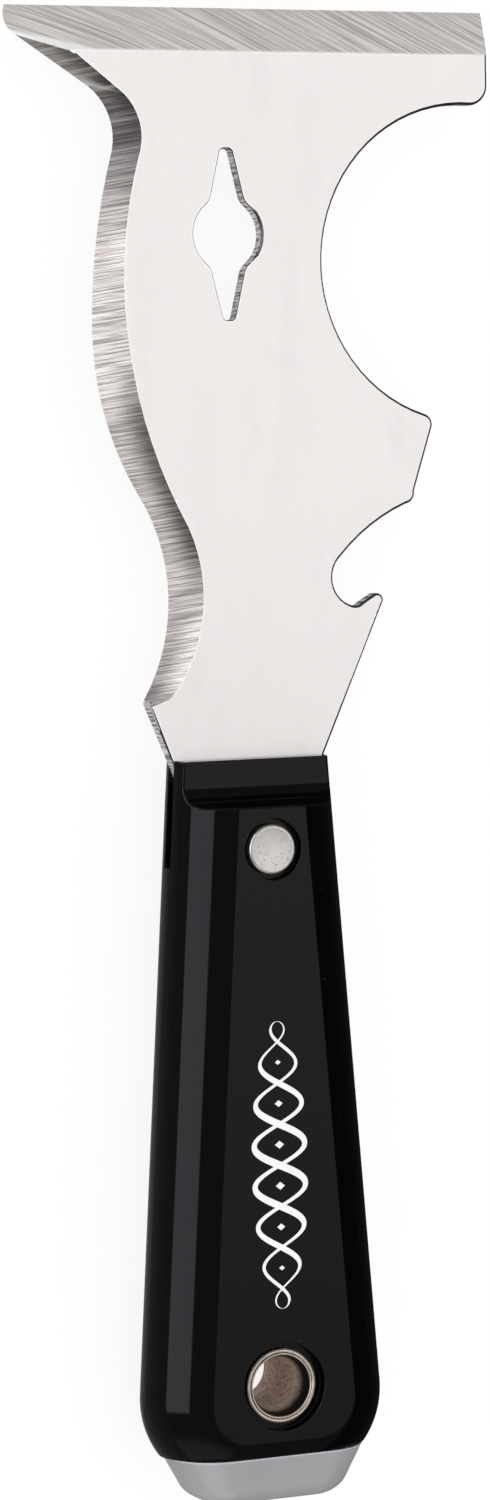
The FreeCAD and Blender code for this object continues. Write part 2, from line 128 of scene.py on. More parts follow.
# --- node graphs
class Graph:
    """Short calls that add nodes to one node tree."""

    def __init__(self, tree: bpy.types.NodeTree) -> None:
        """Work on the given tree."""
        self.tree = tree

    def add(self, kind: str, inputs: Optional[dict[Any, Value]] = None,
            **settings: Any) -> Node:
        """Add a node.

        Args:
            kind: Name of the node type, without its ShaderNode prefix.
            inputs: Input names or numbers, each with a constant or a socket.
            **settings: Properties of the node itself.

        Returns:
            The new node.
        """
        node = self.tree.nodes.new("ShaderNode" + kind)
        for name, value in settings.items():
            setattr(node, name, value)
        self.send(node, inputs or {})
        return node

    def out(self, kind: str, inputs: dict[Any, Value], **settings: Any) -> Socket:
        """First output of a new node."""
        return self.add(kind, inputs, **settings).outputs[0]

    def send(self, node: Node, values: dict[Any, Value]) -> None:
        """Feed inputs of a node, by their names or numbers."""
        for name, value in values.items():
            self.feed(node.inputs[name], value)

    def feed(self, socket: Socket, value: Value) -> None:
        """Link a socket to an input, or set the input to a constant."""
        if isinstance(value, Socket):
            self.tree.links.new(value, socket)
        elif socket.type == "RGBA":
            socket.default_value = (*value, 1.0)[:4]
        else:
            socket.default_value = value

    def math(self, operation: str, *values: Value, clamp: bool = False) -> Socket:
        """Result of a Math node on the given values."""
        return self.out(
            "Math", dict(enumerate(values)), operation=operation, use_clamp=clamp)

    def times(self, first: Value, second: Value) -> Socket:
        """Product of two numbers."""
        return self.math("MULTIPLY", first, second)

    def minus(self, first: Value, second: Value, clamp: bool = False) -> Socket:
        """Difference of two numbers."""
        return self.math("SUBTRACT", first, second, clamp=clamp)

    def fused(self, value: Value, factor: Value, more: Value) -> Socket:
        """A number times a factor, plus another."""
        return self.math("MULTIPLY_ADD", value, factor, more)

    def step(self, value: Value, low: float, high: float, start: float = 0.0,
             end: float = 1.0) -> Socket:
        """Smooth step from start to end while value goes from low to high."""
        return self.out("MapRange", dict(enumerate((value, low, high, start, end))),
                        interpolation_type="SMOOTHSTEP")

    def span(self, value: Value, low: float, high: float, soft: float) -> Socket:
        """Mask that is 1 between low and high, with soft ends."""
        rise = self.step(value, low - soft, low + soft)
        fall = self.step(value, high - soft, high + soft, 1.0, 0.0)
        return self.times(rise, fall)

    def blend(self, factor: Value, first: Value, second: Value) -> Socket:
        """Number that goes from first to second with the factor."""
        return self.out("Mix", {0: factor, 2: first, 3: second}, data_type="FLOAT")

    def tint(self, factor: Value, first: Value, second: Value) -> Socket:
        """Colour that goes from first to second with the factor."""
        node = self.add("Mix", {0: factor, 6: first, 7: second}, data_type="RGBA")
        return node.outputs[2]

    def noise(self, vector: Value, scale: float, detail: float = 2.0,
              roughness: float = 0.5) -> Socket:
        """Noise of the given scale, from 0 to 1."""
        return self.out("TexNoise", {
            "Vector": vector, "Scale": scale, "Detail": detail, "Roughness": roughness})

    def group(self, effect: "Effect", place: Socket, **numbers: float) -> Any:
        """Outputs of a shared effect, placed with its own values for this material."""
        return self.add(
            "Group", {"Vector": place, **numbers}, node_tree=effect.tree).outputs

    def apart(self, vector: Value) -> tuple[Socket, Socket, Socket]:
        """The three parts of a vector."""
        return tuple(self.add("SeparateXYZ", {0: vector}).outputs)

    def joined(self, x: Value, y: Value, z: Value) -> Socket:
        """A vector made of its three parts."""
        return self.out("CombineXYZ", {0: x, 1: y, 2: z})

    def vector(self, operation: str, first: Value, second: Value) -> Socket:
        """Result of a Vector Math node on two vectors."""
        return self.out("VectorMath", {0: first, 1: second}, operation=operation)

    def sized(self, vector: Value, scale: Value) -> Socket:
        """A vector multiplied by one number."""
        return self.out("VectorMath", {0: vector, "Scale": scale}, operation="SCALE")

    def in_mm(self, place: Socket) -> tuple[Socket, Socket, Socket]:
        """The three parts of a place, in millimetres."""
        return self.apart(self.vector("MULTIPLY", place, (PER_MM,) * 3))

    def radius(self, x: Socket, y: Socket) -> Socket:
        """Distance from the upright axis."""
        return self.math("SQRT", self.math("ADD", self.times(x, x), self.times(y, y)))


def new_material(name: str) -> tuple[Material, Graph, Node]:
    """A new material, its graph and its shader."""
    material = bpy.data.materials.new(name)
    material.use_nodes = True
    tree = material.node_tree
    return material, Graph(tree), tree.nodes["Principled BSDF"]


class Effect:
    """A shared shader node group with a vector, named numbers and named outputs."""

    def __init__(self, name: str, outputs: Sequence[str], **numbers: float) -> None:
        """Make the empty group.

        Args:
            name: Name of the group.
            outputs: Names of the outputs, which are all masks or heights.
            **numbers: The inputs that follow the vector, with their defaults.
        """
        self.tree = bpy.data.node_groups.new(name, "ShaderNodeTree")
        sockets = self.tree.interface
        sockets.new_socket("Vector", in_out="INPUT", socket_type="NodeSocketVector")
        for label, default in numbers.items():
            made = sockets.new_socket(label, in_out="INPUT", socket_type="NodeSocketFloat")
            made.default_value = default
        for label in outputs:
            sockets.new_socket(label, in_out="OUTPUT", socket_type="NodeSocketFloat")
        self.graph = Graph(self.tree)
        self.source = self.tree.nodes.new("NodeGroupInput")
        self.sink = self.tree.nodes.new("NodeGroupOutput")

    def take(self, name: str) -> Socket:
        """One of the group's inputs."""
        return self.source.outputs[name]

    def give(self, name: str, value: Socket) -> None:
        """Send a socket to one of the group's outputs."""
        self.graph.feed(self.sink.inputs[name], value)

    def per(self, name: str, vector: Optional[Socket] = None) -> Socket:
        """The group's vector, or another, in units of a length given in millimetres."""
        scale = self.graph.math("DIVIDE", PER_MM, self.take(name))
        return self.graph.sized(vector or self.take("Vector"), scale)


class Effects:
    """The effects that several finishes share, each built once."""

    def __init__(self) -> None:
        """Build every effect."""
        self.grind = self._grind()
        self.smear = self._smear()
        self.pits = self._pits()
        self.wear = self._wear_and_highlight()
        self.turned = self._turned()

    def _grind(self) -> Effect:
        """Straight scratches of a grinding belt, with broader passes between them."""
        made = Effect(
            "grind_lines", ["Lines", "Passes"], Angle=0.0, Fineness=6.0, Stretch=0.04)
        g, stretch = made.graph, made.take("Stretch")
        turned = g.add(
            "VectorRotate", {"Vector": made.take("Vector"), "Angle": made.take("Angle")},
            rotation_type="Z_AXIS").outputs[0]
        along, across, up = g.apart(turned)
        line = g.joined(g.times(along, stretch), across, g.times(up, stretch))
        fine = g.sized(line, made.take("Fineness"))
        made.give("Lines", g.step(g.noise(fine, PER_MM, 2.0, 0.6), 0.36, 0.64))
        elsewhere = g.vector("ADD", fine, (0.7, 0.31, 0.5))
        made.give("Passes", g.step(g.noise(elsewhere, 0.45 * PER_MM), 0.5, 0.78))
        return made

    def _smear(self) -> Effect:
        """Wiping marks and faint clouds left by handling."""
        made = Effect("handling_smear", ["Smear", "Cloud"], Size=6.0, Stretch=0.3)
        g = made.graph
        x, y, z = g.apart(made.take("Vector"))
        near = made.per("Size", g.joined(x, g.times(y, made.take("Stretch")), z))
        made.give("Smear", g.step(g.noise(near, 1.0, 6.0, 0.68), 0.4, 0.72))
        made.give("Cloud", g.step(g.noise(near, 0.23, 3.0), 0.3, 0.7))
        return made

    def _pits(self) -> Effect:
        """Small pits of a cast or tumbled surface."""
        made = Effect("surface_pits", ["Pits", "Grain"], Spacing=0.6, Share=0.3)
        g = made.graph
        near = made.per("Spacing")
        warped = g.add("TexNoise", {"Vector": near, "Scale": 1.7, "Detail": 2.0})
        moved = g.vector("ADD", near, warped.outputs["Color"])
        cells = g.add("TexVoronoi", {"Vector": moved, "Scale": 1.0}, feature="F1")
        edge = g.times(made.take("Share"), 1.6)
        depth = g.minus(1.0, g.math("DIVIDE", cells.outputs["Distance"], edge), clamp=True)
        keep = g.step(g.noise(near, 0.6, 1.0), 0.45, 0.6)
        made.give("Pits", g.times(depth, keep))
        made.give("Grain", g.noise(near, 3.0, 4.0, 0.65))
        return made

    def _wear_and_highlight(self) -> Effect:
        """Narrow band along the edges of a piece, broken up as real wear is, for wear and
        for painted highlights.
        """
        made = Effect("edge_wear_and_highlight", ["Wear"], Reach=0.3, Breaks=1.0)
        g = made.graph
        soft = g.add("Bevel", {"Radius": g.times(made.take("Reach"), MM)}, samples=6)
        hard = g.add("NewGeometry").outputs["Normal"]
        same = g.add("VectorMath", {0: soft.outputs[0], 1: hard}, operation="DOT_PRODUCT")
        broken = g.step(g.noise(made.per("Breaks"), 1.0, 4.0, 0.6), 0.24, 0.5)
        made.give("Wear", g.times(g.step(same.outputs[1], 0.9992, 0.985), broken))
        return made

    def _turned(self) -> Effect:
        """Rings left by turning or pressing, about a piece's own upright axis."""
        made = Effect("turned_rings", ["Rings"], Fineness=4.0)
        g = made.graph
        x, y, z = g.apart(made.take("Vector"))
        turn = g.times(g.math("ARCTAN2", y, x), 0.0006)
        scaled = g.sized(g.joined(g.radius(x, y), turn, z), made.take("Fineness"))
        made.give("Rings", g.step(g.noise(scaled, PER_MM, 3.0, 0.6), 0.35, 0.65))
        return made


# --- finishes
@dataclass(frozen=True)
class Finish:
    """Base of every finish: a name and the values of its own shader."""

    name: str
    specular: float = 0.5

    def make(self, effects: Effects, centre: Vector) -> Material:
        """Build the material.

        Args:
            effects: The shared effects.
            centre: Place in the row frame that the piece's patterns are centred on.

        Returns:
            The finished material.
        """
        material, graph, shader = new_material(self.name)
        shader.inputs["Specular IOR Level"].default_value = self.specular
        coordinates = graph.add("TexCoord")
        place = graph.add(
            "Mapping",
            {"Vector": coordinates.outputs["Object"], "Location": -centre}).outputs[0]
        self.paint(graph, shader, effects, place, coordinates.outputs["Normal"])
        return material

    def paint(self, g: Graph, shader: Node, effects: Effects, place: Socket,
              normal: Socket) -> None:
        """Build the pattern that feeds the shader."""
        raise NotImplementedError

    @staticmethod
    def relief(g: Graph, shader: Node, height: Socket, depth: float,
               strength: float) -> None:
        """Send a height, in the given depth in millimetres, to the shader's normal."""
        bump = g.add(
            "Bump", {"Height": height, "Distance": depth * MM, "Strength": strength})
        g.feed(shader.inputs["Normal"], bump.outputs[0])


@dataclass(frozen=True)
class GroundSteel(Finish):
    """Polished blade steel with two belt-ground bevels and stamped edges."""

    face: Colour = (0.785, 0.758, 0.75)
    # Painted highlight colour for the blade's edges and the top bevel's foot.
    edge_highlight: Colour = (0.99, 0.99, 0.99)
    bevel_light: Colour = (0.86, 0.825, 0.81)
    bevel_dark: Colour = (0.46, 0.43, 0.415)
    scale_tint: Colour = (1.0, 0.93, 0.90)
    wall_light: Colour = (0.90, 0.88, 0.86)
    wall_dark: Colour = (0.20, 0.19, 0.185)
    # Painted shade colour for the rounded stamped edges.
    rounding_shade: Colour = (0.13, 0.125, 0.125)
    face_metal: float = 0.66
    ground_metal: float = 0.35
    edge_angle: float = 28.0
    edge_bend: float = 0.0034
    side_angle: float = -9.0
    # Painted reflection and shade along the hollow-ground side bevel: place along it,
    # then the tone at its root and the tone at its knife edge.
    side_reflection: tuple[Triple, ...] = (
        (5.0, 0.05, 0.05), (8.6, 0.42, 0.14), (12.0, 1.00, 0.38), (18.0, 0.86, 0.52),
        (24.0, 0.54, 0.63), (30.0, 0.12, 0.58), (47.0, 0.16, 0.66), (53.5, 0.52, 0.84),
        (56.0, 0.75, 0.80), (66.0, 0.76, 0.80), (70.5, 0.96, 0.72), (75.0, 0.58, 0.56),
        (82.0, 0.26, 0.32), (87.0, 0.10, 0.15), (93.0, 0.05, 0.16), (101.0, 0.08, 0.26))
    side_reflection_span: Point = (0.0, 105.0)
    # The knife edge lies left of these two places, above and below the waist.
    head_reach: float = -11.5
    waist_reach: float = -5.0
    waist_y: float = 60.0
    knife_end_y: float = 4.5
    # Leans and places between which a mask fades in.
    ground_lean: Point = (0.9945, 0.9925)
    upright_lean: Point = (0.6, 0.7)
    top_lean: Point = (0.1, 0.2)
    top_y: float = 95.0
    top_foot: Point = (98.55, 98.95)
    heat_line: Point = (103.4, 104.7)
    wall_lean: Point = (0.40, 0.22)
    strip_lean: Point = (0.985, 0.9)
    outward_z: Point = (0.95, -0.7)
    tip_root: Triple = (-25.0, 98.56, -0.308)
    tip_land: Triple = (-21.2, 98.62, -0.22)

    def reflection_tones(self, g: Graph, along: Socket, column: int) -> Socket:
        """One of the two painted reflection tones, by the place along the blade."""
        low, high = self.side_reflection_span
        share = g.math("DIVIDE", g.minus(along, low), high - low, clamp=True)
        ramp = g.add("ValToRGB", {0: share})
        stops = ramp.color_ramp.elements
        ramp.color_ramp.interpolation = "EASE"
        for number, row in enumerate(self.side_reflection):
            spot = (row[0] - low) / (high - low)
            stop = stops[number] if number < len(stops) else stops.new(spot)
            stop.position = spot
            stop.color = (row[column],) * 3 + (1.0,)
        return ramp.outputs[0]

    @staticmethod
    def above(g: Graph, x: Socket, y: Socket, line: Triple) -> Socket:
        """How far a place lies above a slanting line, given by a point and its slope."""
        level = g.fused(g.minus(x, line[0]), line[2], line[1])
        return g.minus(y, level)

    def paint(self, g: Graph, shader: Node, effects: Effects, place: Socket,
              normal: Socket) -> None:
        """Mirror face, slanting scratches on the top bevel, cross ones on the side, with
        painted highlights, reflections and shade.
        """
        x, y, z = g.in_mm(place)
        _, lean_y, lean_z = g.apart(normal)
        ground = g.times(
            g.step(lean_z, *self.ground_lean), g.step(lean_z, *self.upright_lean))
        tip = g.math("LESS_THAN", x, self.tip_root[0])
        past_root = g.times(tip, g.step(self.above(g, x, y, self.tip_root), -0.08, 0.08))
        top = g.math("MAXIMUM", g.step(lean_y, *self.top_lean), past_root)
        top = g.times(top, g.math("GREATER_THAN", y, self.top_y))
        land = g.times(g.math("LESS_THAN", x, self.tip_land[0]), g.step(
            self.above(g, x, y, self.tip_land), 0.45, -0.1))
        top_ground = g.times(ground, top)
        scraping = g.times(
            top_ground, g.minus(g.step(y, *self.top_foot), land, clamp=True))
        side = g.times(ground, g.minus(1.0, top))
        # Painted highlight on the top bevel's foot and on the land at the tip.
        highlit_strip = g.minus(top_ground, scraping, clamp=True)
        steep = g.math("ABSOLUTE", lean_z)
        wall_face = g.step(steep, *self.wall_lean)
        reach = g.blend(
            g.math("LESS_THAN", y, self.waist_y), self.head_reach, self.waist_reach)
        stamped_side = g.math("MAXIMUM", g.math("GREATER_THAN", x, reach), g.math(
            "LESS_THAN", y, self.knife_end_y))
        stamped_side = g.times(stamped_side, g.minus(1.0, top))
        stamped = g.math(
            "MAXIMUM", wall_face, g.times(g.step(steep, *self.strip_lean), stamped_side))

        left = g.math("MINIMUM", x, 0.0)
        bend = g.times(g.times(left, left), self.edge_bend * MM)
        bent = g.vector("ADD", place, g.joined(0.0, bend, 0.0))
        slant = g.group(effects.grind, bent, Angle=math.radians(self.edge_angle),
                        Fineness=4.2, Stretch=0.012)
        cross = g.group(effects.grind, place, Angle=math.radians(self.side_angle),
                        Fineness=3.8, Stretch=0.032)
        smear = g.group(effects.smear, place, Size=5.0, Stretch=0.3)
        wear = g.group(effects.wear, place, Reach=0.42, Breaks=3.0)
        walls = g.group(effects.grind, g.vector("MULTIPLY", place, (1.0, 1.0, 0.1)),
                        Fineness=2.6, Stretch=1.0)

        haze = g.times(smear["Cloud"], smear["Smear"])
        face = g.tint(haze, self.face, tuple(0.93 * part for part in self.face))
        # Painted highlight along the edges of the faces.
        face = g.tint(wear[0], face, self.edge_highlight)
        slanting = g.tint(slant["Lines"], self.bevel_dark, self.bevel_light)
        slanting = g.tint(g.times(slant["Passes"], 0.4), slanting, self.face)
        slanting = g.tint(g.step(y, *self.heat_line, 0.0, 0.35), slanting, tuple(
            0.6 * part for part in self.scale_tint))
        outward = g.step(z, *self.outward_z)
        # Painted reflection and shade on the side bevel, from the listed tones along the
        # blade.
        tone = g.blend(outward, self.reflection_tones(g, y, 1), self.reflection_tones(g, y, 2))
        tone = g.times(tone, g.fused(cross["Lines"], 0.85, 0.6))
        tone = g.fused(cross["Passes"], 0.22, tone)
        crossing = g.add("Mix", {0: 1.0, 6: tone, 7: self.scale_tint}, data_type="RGBA",
                         blend_type="MULTIPLY").outputs[2]
        wall = g.tint(walls["Lines"], self.wall_dark, self.wall_light)
        # Painted shade: the rounded stamped edges are coloured near black, the walls keep
        # their streaks.
        wall = g.tint(wall_face, self.rounding_shade, wall)
        colour = face
        for mask, over in ((scraping, slanting), (side, crossing), (highlit_strip, self.edge_highlight),
                           (stamped, wall)):
            colour = g.tint(mask, colour, over)
        worked = g.math("ADD", g.math("ADD", scraping, side), highlit_strip, clamp=True)
        metal = g.blend(stamped, g.blend(worked, self.face_metal, self.ground_metal),
                        g.blend(wall_face, 1.0, self.ground_metal))

        rough = g.blend(smear["Smear"], 0.055, 0.095)
        rough = g.blend(worked, rough, g.blend(slant["Lines"], 0.38, 0.26))
        rough = g.blend(stamped, rough, 0.3)
        g.send(shader, {"Base Color": colour, "Metallic": metal, "Roughness": rough})

        height = g.times(smear["Smear"], 0.02)
        for marks, mask in ((slant, scraping), (cross, side), (walls, stamped)):
            height = g.fused(marks["Lines"], mask, height)
        self.relief(g, shader, height, 0.010, 0.5)


@dataclass(frozen=True)
class GlossPlastic(Finish):
    """Black moulded plastic, polished by the mould, with a plain printed braid or none."""

    specular: float = 0.20
    body: Colour = (0.0014, 0.0014, 0.0017)
    worn: Colour = (0.012, 0.012, 0.013)
    dust: Colour = (0.05, 0.05, 0.05)
    ink: Colour = (0.86, 0.86, 0.87)
    printed: bool = False
    braid_start: float = -36.5
    braid_end: float = -77.0
    braid_half: float = 3.9
    braid_pitch: float = 11.6
    braid_line: float = 0.40
    lozenge_slim: float = 0.42
    front_level: float = 8.0

    def braid(self, g: Graph, place: Socket) -> Socket:
        """Mask of two crossing waves with a lozenge in each loop, tapered at both ends."""
        x, y, z = g.in_mm(place)
        middle = (self.braid_start + self.braid_end) / 2
        half = (self.braid_start - self.braid_end) / 2
        rate = 2 * math.pi / self.braid_pitch
        off = g.minus(y, middle)
        share = g.math("DIVIDE", off, half)
        swell = g.minus(1.0, g.times(share, share), clamp=True)
        swing = g.times(g.math("SQRT", swell), self.braid_half)
        phase = g.times(off, rate)
        cosine = g.math("COSINE", phase)
        wave = g.times(g.math("SINE", phase), swing)
        slope = g.times(g.times(cosine, swing), rate)
        lean = g.math("SQRT", g.fused(slope, slope, 1.0))
        taper = g.fused(swell, 0.75, 0.25)
        width = g.times(g.times(lean, taper), self.braid_line)
        marks = []
        for turn in (1.0, -1.0):
            pen = g.fused(cosine, 0.35 * turn, 1.0)
            gap = g.math("ABSOLUTE", g.fused(wave, turn, x))
            marks.append(g.math("LESS_THAN", gap, g.times(width, pen)))
        lozenge = g.fused(
            g.math("ABSOLUTE", x), self.lozenge_slim, g.math("ABSOLUTE", cosine))
        marks.append(g.math("LESS_THAN", lozenge, g.times(taper, 0.3)))
        ink = g.math("MAXIMUM", g.math("MAXIMUM", marks[0], marks[1]), marks[2])
        inside = g.math("LESS_THAN", g.math("ABSOLUTE", share), 1.0)
        raised = g.math("GREATER_THAN", z, self.front_level)
        return g.times(g.times(ink, inside), raised)

    def paint(self, g: Graph, shader: Node, effects: Effects, place: Socket,
              normal: Socket) -> None:
        """Deep black with a faint mould texture, handling marks and dust."""
        smear = g.group(effects.smear, place, Size=7.0, Stretch=0.5)
        skin = g.group(effects.pits, place, Spacing=0.45, Share=0.35)
        specks = g.group(effects.pits, place, Spacing=1.9, Share=0.045)
        wear = g.group(effects.wear, place, Reach=0.3, Breaks=1.5)
        colour = g.tint(g.times(wear[0], 0.5), self.body, self.worn)
        colour = g.tint(g.times(specks["Pits"], 0.5), colour, self.dust)
        rough = g.blend(smear["Smear"], 0.05, 0.10)
        rough = g.blend(wear[0], rough, 0.16)
        height = g.times(skin["Grain"], 0.05)
        if self.printed:
            ink = self.braid(g, place)
            colour = g.tint(ink, colour, self.ink)
            rough = g.blend(ink, rough, 0.4)
            height = g.fused(ink, 0.6, height)
        g.send(shader, {"Base Color": colour, "Roughness": rough})
        self.relief(g, shader, height, 0.02, 0.35)


@dataclass(frozen=True)
class PlatedMetal(Finish):
    """Nickel or zinc with pits, press marks, tarnish and brighter edges: rubbed on the
    rivet and eyelet, a painted glint on the cap.
    """

    clean: Colour = (0.74, 0.72, 0.70)
    tarnish: Colour = (0.46, 0.42, 0.39)
    rubbed_and_glint: Colour = (0.88, 0.87, 0.86)
    low_rough: float = 0.2
    high_rough: float = 0.42
    pit_spacing: float = 0.5
    pit_share: float = 0.3
    pit_depth: float = 0.03
    ring_depth: float = 0.2
    ring_fineness: float = 3.0
    tarnish_share: float = 0.5
    blotch: float = 1.5
    metal: float = 1.0
    edge_band_reach: float = 0.3
    edge_band_breaks: float = 1.2

    def paint(self, g: Graph, shader: Node, effects: Effects, place: Socket,
              normal: Socket) -> None:
        """Pitted plating over a pressed or cast body."""
        pits = g.group(effects.pits, place, Spacing=self.pit_spacing, Share=self.pit_share)
        smear = g.group(effects.smear, place, Size=self.blotch, Stretch=0.8)
        rings = g.group(effects.turned, place, Fineness=self.ring_fineness)
        wear = g.group(effects.wear, place, Reach=self.edge_band_reach, Breaks=self.edge_band_breaks)
        dull = g.times(smear["Smear"], self.tarnish_share)
        dull = g.math("MAXIMUM", dull, g.times(pits["Pits"], 0.8))
        colour = g.tint(dull, self.clean, self.tarnish)
        # Brighter edges: rubbed wear, and on the cap a painted glint.
        colour = g.tint(g.times(wear[0], 0.7), colour, self.rubbed_and_glint)
        colour, metal = self.stain_and_shade(g, place, colour)
        rough = g.blend(pits["Grain"], self.low_rough, self.high_rough)
        g.send(shader, {"Base Color": colour, "Metallic": metal, "Roughness": rough})
        height = g.minus(g.times(rings["Rings"], self.ring_depth), pits["Pits"])
        height = g.fused(pits["Grain"], 0.25, height)
        self.relief(g, shader, height, self.pit_depth, 0.7)

    def stain_and_shade(self, g: Graph, place: Socket, colour: Socket) -> tuple[Socket, Value]:
        """Colour and metal share where the piece is stained or has painted shade, which
        most are not.
        """
        return colour, self.metal


@dataclass(frozen=True)
class EyeletNickel(PlatedMetal):
    """Nickel plating with painted shade in the throat under the lip and in the crease
    round it, and a brown, matt bore.
    """

    # Painted shade colour for the throat and the crease.
    painted_shade: Colour = (0.010, 0.009, 0.009)
    bore_light: Colour = (0.74, 0.59, 0.48)
    bore_dark: Colour = (0.26, 0.18, 0.14)
    bore_metal: float = 0.3
    lip_radius: float = 4.42
    groove: Point = (4.62, 4.73)
    throat_top: float = 7.36
    throat_end: float = 6.35
    throat_fade: float = 3.4

    def stain_and_shade(self, g: Graph, place: Socket, colour: Socket) -> tuple[Socket, Value]:
        """Painted shade on the curve below the lip and in the crease by the flange, then
        specks all down the bore.
        """
        x, y, z = g.in_mm(place)
        radius = g.radius(x, y)
        inside = g.times(g.step(radius, self.lip_radius, self.lip_radius - 0.03), g.step(
            z, self.throat_top, self.throat_top - 0.1))
        speck = g.noise(place, 1.6 * PER_MM, 4.0, 0.75)
        brown = g.tint(g.step(speck, 0.42, 0.7), self.bore_light, self.bore_dark)
        # Painted shade over the upper bore, fading out lower down.
        brown = g.tint(g.step(z, self.throat_fade, self.throat_end), brown, self.painted_shade)
        # Painted shade in the crease between the lip and the flange roll.
        colour = g.tint(g.span(radius, *self.groove, 0.02), colour, self.painted_shade)
        return (
            g.tint(inside, colour, brown), g.blend(inside, self.metal, self.bore_metal))


@dataclass(frozen=True)
class Studio:
    """Camera, floor and light: a pale table under two soft boxes."""

    target: Triple = (-0.31, 1.09, 0.0)
    turn: float = 23.74
    lift: float = 3.58
    roll: float = -1.205
    distance: float = 0.6814
    lens: float = 116.19
    floor_half: float = 1.5
    floor_drop: float = 0.0002
    daylight: float = 1.1
    room: float = 0.20
    room_ends: float = 0.6
    overhead: float = 0.90
    side_box: float = 1.9
    box_soft: float = 1.5
    over_across: Point = (9.0, 41.0)
    over_rise: Point = (-24.0, 2.0)
    over_fall: Point = (12.0, 17.0)
    side_across: Point = (-90.0, -44.0)
    side_along: Point = (-14.0, 44.0)
    end_along: Point = (-34.0, -50.0)
    end_across: Point = (18.0, 8.0)
    dark_across: Point = (42.0, 50.0)
    dark_share: float = 0.95
    cool: Colour = (1.0, 0.97, 1.08)
    table_glow: float = 0.87
    table_mirrored: Point = (0.24, 0.012)

    def camera(self, tool: ToolFrame) -> None:
        """Set up the camera, which looks down on the front face from the left."""
        turn, lift, roll = (math.radians(a) for a in (self.turn, self.lift, self.roll))
        back = Vector((-math.sin(turn) * math.cos(lift), math.sin(lift),
                       math.cos(turn) * math.cos(lift)))
        level = Vector((math.cos(turn), 0.0, math.sin(turn)))
        rise = back.cross(level)
        right = level * math.cos(roll) + rise * math.sin(roll)
        up = rise * math.cos(roll) - level * math.sin(roll)
        data = bpy.data.cameras.new("camera")
        data.lens = self.lens
        item = add_object("camera", data)
        axes = Matrix((right, up, back)).transposed().to_4x4()
        item.matrix_world = Matrix.Translation(
            tool.at(*self.target) + back * self.distance) @ axes
        bpy.context.scene.camera = item

    def light(self) -> None:
        """Light the scene evenly, with two soft boxes for the gloss to reflect."""
        world = bpy.data.worlds.new("studio")
        world.use_nodes = True
        bpy.context.scene.world = world
        bpy.context.scene.view_settings.view_transform = "Standard"
        g = Graph(world.node_tree)
        x, y, z = g.apart(g.add("TexCoord").outputs["Generated"])
        across = g.math("DEGREES", g.math("ARCTAN2", x, z))
        along = g.math("DEGREES", g.math("ARCSINE", y))
        over = g.times(g.span(across, *self.over_across, self.box_soft), g.times(
            g.step(along, *self.over_rise), g.step(along, *self.over_fall, 1.0, 0.0)))
        side = g.times(g.span(across, *self.side_across, self.box_soft), g.span(
            along, *self.side_along, self.box_soft))
        ends = g.times(g.step(along, *self.end_along), g.step(across, *self.end_across))
        dark = g.times(g.step(across, *self.dark_across), self.dark_share)
        room = g.blend(ends, g.times(self.room, g.minus(1.0, dark)), self.room_ends)
        glow = g.fused(over, self.overhead, room)
        glow = g.fused(side, self.side_box, glow)
        mirrored = g.add("LightPath").outputs["Is Glossy Ray"]
        colour = g.tint(g.times(mirrored, side), (1.0, 1.0, 1.0), self.cool)
        g.send(world.node_tree.nodes["Background"], {
            "Color": colour, "Strength": g.blend(mirrored, self.daylight, glow)})

    def floor(self, tool: ToolFrame) -> None:
        """Lay the pale table that the tool lies on."""
        bm = bmesh.new()
        ops.create_grid(bm, x_segments=1, y_segments=1, size=self.floor_half)
        level = min(corner.z for corner in CAD_BOX) - self.floor_drop
        ops.translate(bm, verts=bm.verts, vec=(0.0, 0.0, level))
        mesh = bpy.data.meshes.new("table_top")
        bm.to_mesh(mesh)
        bm.free()
        material, g, shader = new_material("pale_table")
        mirrored = g.add("LightPath").outputs["Is Glossy Ray"]
        place = g.add("TexCoord").outputs["Object"]
        pale = g.tint(g.noise(place, 900.0, 3.0), (0.13,) * 3, (0.15,) * 3)
        left, right = ((shade,) * 3 for shade in self.table_mirrored)
        shade = g.tint(g.step(g.apart(place)[0], -0.02, 0.01), left, right)
        g.send(shader, {
            "Base Color": g.tint(mirrored, pale, (0.01,) * 3),
            "Emission Color": g.tint(mirrored, (self.table_glow,) * 3, shade),
            "Emission Strength": 1.0, "Specular IOR Level": 0.0, "Roughness": 0.9})
        mesh.materials.append(material)
        add_object("table_top", mesh)


# --- pieces
EdgeTest = Callable[[Edge], bool]
HAIR = 1e-3


